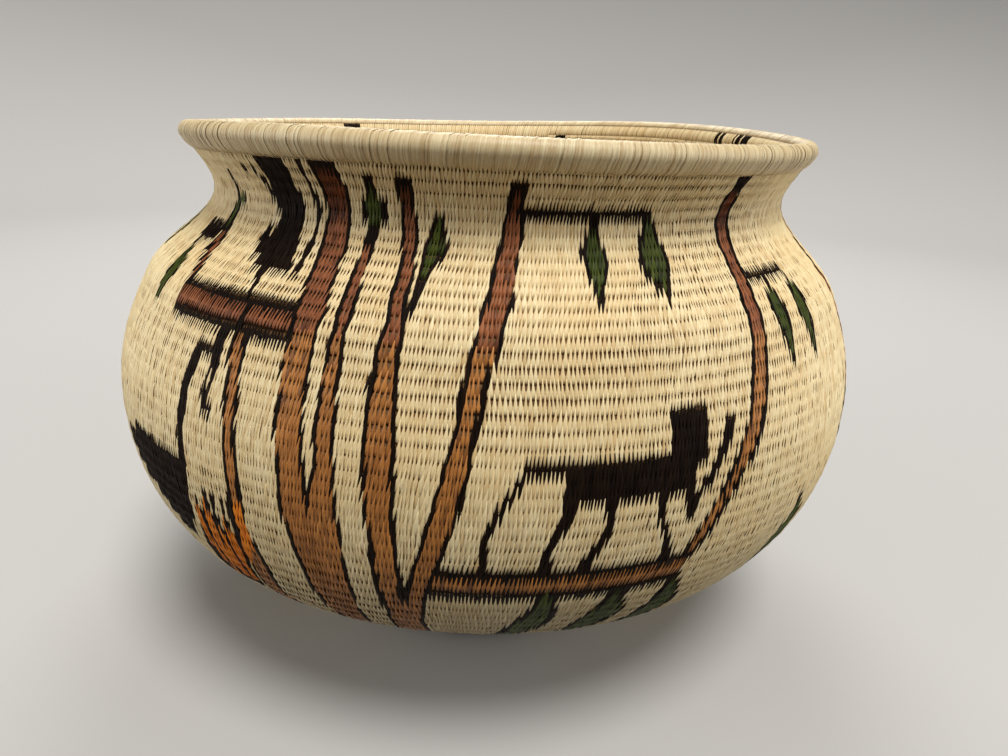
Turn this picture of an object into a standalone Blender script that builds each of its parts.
"""Coiled basket, built the way it is sewn.

One long foundation coil starts round a knot in the middle of the base, spirals out over the base,
climbs the wall and ends in a thinned tail under a thick rim roll. The coil is spliced from bundles
of fibre, and each bundle is an object of its own.

Metres, +Z up. The basket stands on z = 0 with its axis on the world's Z axis.
"""
import math

import bmesh
import bpy
import numpy as np

# Outer surface of the wall, radius and height at each landmark from the floor up
BASE_RADIUS = 0.0670
FOOT_RADIUS = 0.0820
FOOT_HEIGHT = 0.0096
LOWER_RADIUS = 0.1170
LOWER_HEIGHT = 0.0405
HAUNCH_RADIUS = 0.1556
HAUNCH_HEIGHT = 0.0682
BELLY_RADIUS = 0.1720
BELLY_HEIGHT = 0.1340
SHOULDER_RADIUS = 0.1589
SHOULDER_HEIGHT = 0.1735
NECK_RADIUS = 0.1314
NECK_HEIGHT = 0.2142
LIP_RADIUS = 0.1386
LIP_HEIGHT = 0.2258

# Foundation coil with its stitching
COIL_PITCH = 0.0048
COIL_GAP = 0.00047
COIL_DEPTH = 0.0044
REST_CUT = 0.0005
SPLICE_GAP = 0.0003
TAIL_HEIGHT = 0.0010
TAIL_THINNING = 0.5

# Start knot in the middle of the base
KNOT_RADIUS = 0.0050
KNOT_CROWN = 0.0041
KNOT_CHAMFER = 0.0006
KNOT_TOP_SHARE = 0.55

# Rim roll
RIM_HEIGHT = 0.0096
RIM_DEPTH = 0.0082
RIM_GAP = 0.0004
RIM_ARC_POINTS = 8
RIM_ARC_SWEEP = 215.0

# Facets
TURN_POINTS = 24
CENTRE_TURN_POINTS = 12
CENTRE_RADIUS = 0.0240
RIM_POINTS = 48
CURVE_SAMPLES = 60

# Bundles that are spliced end to end in each stretch of the coil
BASE_BUNDLES = 3
FOOT_BUNDLES = 1
LOWER_WALL_BUNDLES = 3
HAUNCH_BUNDLES = 2
BELLY_BUNDLES = 4
SHOULDER_BUNDLES = 3
NECK_BUNDLES = 2

# Stretches: name, bundles, and the landmark where the stretch ends
STRETCHES = (
    ("base_coil", BASE_BUNDLES, "base"),
    ("foot_coil", FOOT_BUNDLES, "foot"),
    ("lower_wall_coil", LOWER_WALL_BUNDLES, "lower"),
    ("haunch_coil", HAUNCH_BUNDLES, "haunch"),
    ("belly_coil", BELLY_BUNDLES, "belly_top"),
    ("shoulder_coil", SHOULDER_BUNDLES, "shoulder_top"),
    ("neck_coil", NECK_BUNDLES, "neck_top"),
)
FLAT_STRETCHES = ("base_coil", "foot_coil")
BELLY_TOP_SHARE = 0.75
SHOULDER_TOP_SHARE = 0.80
NECK_TOP_SHARE = 0.60

STRAW = (0.62, 0.47, 0.27, 1.0)
DARK_STRAW = (0.50, 0.36, 0.19, 1.0)
RIM_STRAW = (0.70, 0.56, 0.34, 1.0)
STRAW_ROUGHNESS = 0.62


def clear_scene():
    for item in list(bpy.data.objects):
        bpy.data.objects.remove(item, do_unlink=True)


def straw_material(name, colour):
    material = bpy.data.materials.new(name)
    material.use_nodes = True
    shader = material.node_tree.nodes["Principled BSDF"]
    shader.inputs["Base Color"].default_value = colour
    shader.inputs["Roughness"].default_value = STRAW_ROUGHNESS
    shader.inputs["Metallic"].default_value = 0.0
    material.diffuse_color = colour
    return material


class WallProfile:
    """The wall's middle line in the radius and height plane, measured along its length."""

    def __init__(self):
        knots = [
            (BASE_RADIUS, -REST_CUT),
            (FOOT_RADIUS, FOOT_HEIGHT),
            (LOWER_RADIUS, LOWER_HEIGHT),
            (HAUNCH_RADIUS, HAUNCH_HEIGHT),
            (BELLY_RADIUS, BELLY_HEIGHT),
            (SHOULDER_RADIUS, SHOULDER_HEIGHT),
            (NECK_RADIUS, NECK_HEIGHT),
            (LIP_RADIUS, LIP_HEIGHT),
        ]
        knots = [np.array(knot) for knot in knots]
        tangents = self.knot_tangents(knots)
        points = [np.array((0.0, -REST_CUT))]
        knot_rows = []
        for first in range(len(knots) - 1):
            knot_rows.append(len(points))
            for share in np.linspace(0.0, 1.0, CURVE_SAMPLES, endpoint=False):
                points.append(self.hermite(knots, tangents, first, share))
        knot_rows.append(len(points))
        points.append(knots[-1])
        outer = np.array(points)
        slope = np.gradient(outer, axis=0)
        slope[:2] = (1.0, 0.0)
        slope /= np.linalg.norm(slope, axis=1)[:, None]
        outward = np.stack([slope[:, 1], -slope[:, 0]], axis=1)
        self.middle = outer - outward * COIL_DEPTH / 2.0
        steps = np.linalg.norm(np.diff(self.middle, axis=0), axis=1)
        self.length = np.concatenate([[0.0], np.cumsum(steps)])
        self.slope = slope
        names = ("base", "foot", "lower", "haunch", "belly", "shoulder", "neck", "lip")
        self.landmark = {name: self.length[row] for name, row in zip(names, knot_rows)}
        self.add_between("belly_top", "belly", "shoulder", BELLY_TOP_SHARE)
        self.add_between("shoulder_top", "shoulder", "neck", SHOULDER_TOP_SHARE)
        self.add_between("neck_top", "neck", "lip", NECK_TOP_SHARE)

    def add_between(self, name, low, high, share):
        start = self.landmark[low]
        self.landmark[name] = start + share * (self.landmark[high] - start)

    @staticmethod
    def knot_tangents(knots):
        tangents = [np.array((1.0, 0.0))]
        for before, here, after in zip(knots, knots[1:], knots[2:]):
            back = np.linalg.norm(here - before)
            ahead = np.linalg.norm(after - here)
            blend = (here - before) / back * ahead + (after - here) / ahead * back
            tangents.append(blend / np.linalg.norm(blend))
        last = knots[-1] - knots[-2]
        tangents.append(last / np.linalg.norm(last))
        return tangents

    @staticmethod
    def hermite(knots, tangents, first, share):
        start, end = knots[first], knots[first + 1]
        span = np.linalg.norm(end - start)
        square = share * share
        cube = square * share
        return ((2.0 * cube - 3.0 * square + 1.0) * start
                + (cube - 2.0 * square + share) * span * tangents[first]
                + (3.0 * square - 2.0 * cube) * end
                + (cube - square) * span * tangents[first + 1])

    def frame(self, length):
        """Point, direction up the wall and outward direction at a length along the middle line."""
        point = np.array([np.interp(length, self.length, self.middle[:, axis]) for axis in (0, 1)])
        along = np.array([np.interp(length, self.length, self.slope[:, axis]) for axis in (0, 1)])
        along /= np.linalg.norm(along)
        beyond = length - self.length[-1]
        if beyond > 0.0:
            point = point + along * beyond
        return point, along, np.array((along[1], -along[0]))


def coil_height():
    return COIL_PITCH - COIL_GAP


def start_length():
    """Length along the middle line of the coil's first point, beside the knot."""
    return KNOT_RADIUS + COIL_GAP + coil_height() / 2.0


def coil_section(height, depth, flat):
    """Outline across the coil, as distances up the wall and outward, anticlockwise."""
    half_height = height / 2.0
    half_depth = depth / 2.0
    if not flat:
        return [(half_height, 0.0), (0.0, half_depth), (-half_height, 0.0), (0.0, -half_depth)]
    side = half_height * REST_CUT / half_depth
    face = half_depth - REST_CUT
    return [(half_height, 0.0), (side, face), (-side, face), (-half_height, 0.0), (0.0, -half_depth)]


def ring_at(profile, length, turn, outline):
    """World points of an outline set across the wall, at a length up it and a turn round it."""
    point, along, outward = profile.frame(length)
    angle = 2.0 * math.pi * turn
    ring = []
    for up, out in outline:
        radius, height = point + along * up + outward * out
        ring.append(np.array((radius * math.cos(angle), radius * math.sin(angle), height)))
    return ring


def grid_turns(first, last):
    """Turns of the facet rings from first to last: coarse by the centre, then TURN_POINTS a turn."""
    centre_turns = math.floor((CENTRE_RADIUS - start_length()) / COIL_PITCH)
    coarse = TURN_POINTS // CENTRE_TURN_POINTS
    steps = range(round(first * TURN_POINTS), round(last * TURN_POINTS) + 1)
    fine_from = max(centre_turns, 0) * TURN_POINTS
    return [step / TURN_POINTS for step in steps if step >= fine_from or step % coarse == 0]


def bundle_rings(profile, first, last, flat):
    """Rings of one bundle of the coil, whose first ring stands a splice gap past its neighbour."""
    outline = coil_section(coil_height(), COIL_DEPTH, flat)
    rings = []
    for turn in grid_turns(first, last):
        rings.append(ring_at(profile, start_length() + COIL_PITCH * turn, turn, outline))
    return open_splice(rings)


def open_splice(rings):
    step = np.linalg.norm(rings[1][0] - rings[0][0])
    share = SPLICE_GAP / step
    rings[0] = [start + (end - start) * share for start, end in zip(rings[0], rings[1])]
    return rings


def tail_rings(profile, first):
    """Rings of the coil's end, thinned so that its top stays level under the rim."""
    height = coil_height()
    top = start_length() + COIL_PITCH * first + height / 2.0
    steps = math.floor((height - TAIL_HEIGHT) / COIL_PITCH * TURN_POINTS)
    rings = []
    for step in range(steps + 1):
        turn = first + step / TURN_POINTS
        left = height - COIL_PITCH * step / TURN_POINTS
        depth = COIL_DEPTH * (1.0 - TAIL_THINNING * (1.0 - left / height))
        rings.append(ring_at(profile, top - left / 2.0, turn, coil_section(left, depth, False)))
    return open_splice(rings), top, steps / TURN_POINTS


def sweep(name, rings, material):
    """One closed body through the rings, with a face across each end."""
    shape = bmesh.new()
    rows = [[shape.verts.new(point) for point in ring] for ring in rings]
    for here, ahead in zip(rows, rows[1:]):
        for index in range(len(here)):
            following = (index + 1) % len(here)
            shape.faces.new((here[index], here[following], ahead[following], ahead[index]))
    shape.faces.new(list(reversed(rows[0])))
    shape.faces.new(rows[-1])
    return finish(name, shape, material)


def finish(name, shape, material):
    bmesh.ops.recalc_face_normals(shape, faces=shape.faces)
    mesh = bpy.data.meshes.new(name)
    shape.to_mesh(mesh)
    shape.free()
    mesh.materials.append(material)
    mesh.shade_smooth()
    mesh.set_sharp_from_angle(angle=math.radians(50.0))
    body = bpy.data.objects.new(name, mesh)
    bpy.context.scene.collection.objects.link(body)
    return body


def start_knot(profile, material):
    """Snail-shaped knot: its edge grows by one coil in a turn, so the first coil hugs it."""
    middle_height = profile.frame(0.0)[0][1]
    shape = bmesh.new()
    levels = ((0.0, KNOT_CHAMFER, 1.0), (middle_height, 0.0, 1.0), (KNOT_CROWN, 0.0, KNOT_TOP_SHARE))
    rows = []
    for height, inset, share in levels:
        row = []
        for step in range(CENTRE_TURN_POINTS + 1):
            turn = step / CENTRE_TURN_POINTS
            radius = (KNOT_RADIUS + COIL_PITCH * turn - inset) * share
            angle = 2.0 * math.pi * turn
            row.append(shape.verts.new((radius * math.cos(angle), radius * math.sin(angle), height)))
        rows.append(row)
    for low, high in zip(rows, rows[1:]):
        for index in range(len(low)):
            following = (index + 1) % len(low)
            shape.faces.new((low[index], low[following], high[following], high[index]))
    shape.faces.new(list(reversed(rows[0])))
    shape.faces.new(rows[-1])
    return finish("start_knot", shape, material)


def rim_section(drop):
    """Outline of the rim roll: as wide as the wall where it sits, and a full round above."""
    radius = RIM_DEPTH / 2.0
    centre = RIM_HEIGHT - radius
    outline = [(-drop, -COIL_DEPTH / 2.0), (-drop, COIL_DEPTH / 2.0)]
    half_sweep = math.radians(RIM_ARC_SWEEP) / 2.0
    for angle in np.linspace(half_sweep, -half_sweep, RIM_ARC_POINTS):
        outline.append((centre + radius * math.cos(angle), radius * math.sin(angle)))
    return list(reversed(outline))


def rim_roll(profile, seat, first_turn, tail_share, material):
    """Thick bundle bent once round the mouth, its two ends a splice gap apart.

    Past the tail's end its underside comes down to the last full turn of the coil.
    """
    rings = []
    for step in range(RIM_POINTS + 1):
        share = step / RIM_POINTS
        drop = COIL_PITCH * (1.0 - share) if share > tail_share else 0.0
        rings.append(ring_at(profile, seat + RIM_GAP, first_turn + share, rim_section(drop)))
    return sweep("rim_roll", open_splice(rings), material)


def with_middles(rings, turns):
    """The rings with one more halfway along each facet, for a closer measure of the gap."""
    middles = [[(start + end) / 2.0 for start, end in zip(*pair)] for pair in zip(rings, rings[1:])]
    middle_turns = [(start + end) / 2.0 for start, end in zip(turns, turns[1:])]
    return rings + middles, turns + middle_turns


def least_gap(rings, turns):
    """Least distance between points of one unbroken coil that lie a turn apart."""
    least = math.inf
    rings, turns = with_middles(rings, turns)
    for here, here_turn in zip(rings, turns):
        for there, there_turn in zip(rings, turns):
            past_a_turn = there_turn - here_turn - 1.0
            if abs(past_a_turn) > 0.6 / TURN_POINTS:
                continue
            for point in here:
                least = min(least, min(np.linalg.norm(other - point) for other in there))
    return least


def coil_bundles(profile):
    """Name, first turn, last turn and flatness of each bundle, from the knot to the tail."""
    bundles = []
    first = 0.0
    total = (profile.landmark["lip"] - coil_height() / 2.0 - start_length()) / COIL_PITCH
    for name, count, landmark in STRETCHES:
        last = (profile.landmark[landmark] - start_length()) / COIL_PITCH
        for number in range(count):
            share = (number + 1) / count
            end = round((first + (last - first) * share) * TURN_POINTS) / TURN_POINTS
            start = bundles[-1][2] if bundles else 0.0
            label = f"{name}_{number + 1}" if count > 1 else name
            bundles.append((label, start, end, name in FLAT_STRETCHES))
        first = last
    end = round(total * TURN_POINTS) / TURN_POINTS
    bundles.append(("lip_coil", bundles[-1][2], end, False))
    return bundles


def build():
    clear_scene()
    profile = WallProfile()
    start_knot(profile, straw_material("knot_straw", DARK_STRAW))
    least = math.inf
    bundles = coil_bundles(profile)
    for label, first, last, flat in bundles:
        rings = bundle_rings(profile, first, last, flat)
        sweep(label, rings, straw_material(label + "_straw", STRAW))
        least = min(least, least_gap(rings, grid_turns(first, last)))
    end = bundles[-1][2]
    rings, seat, tail_share = tail_rings(profile, end)
    sweep("coil_tail", rings, straw_material("tail_straw", DARK_STRAW))
    rim_roll(profile, seat, end, tail_share, straw_material("rim_straw", RIM_STRAW))
    print(f"turns of the coil: {end:.2f}, bundles: {len(bundles)}")
    print(f"least gap between turns of one bundle: {least * 1000.0:.3f} mm")


build()
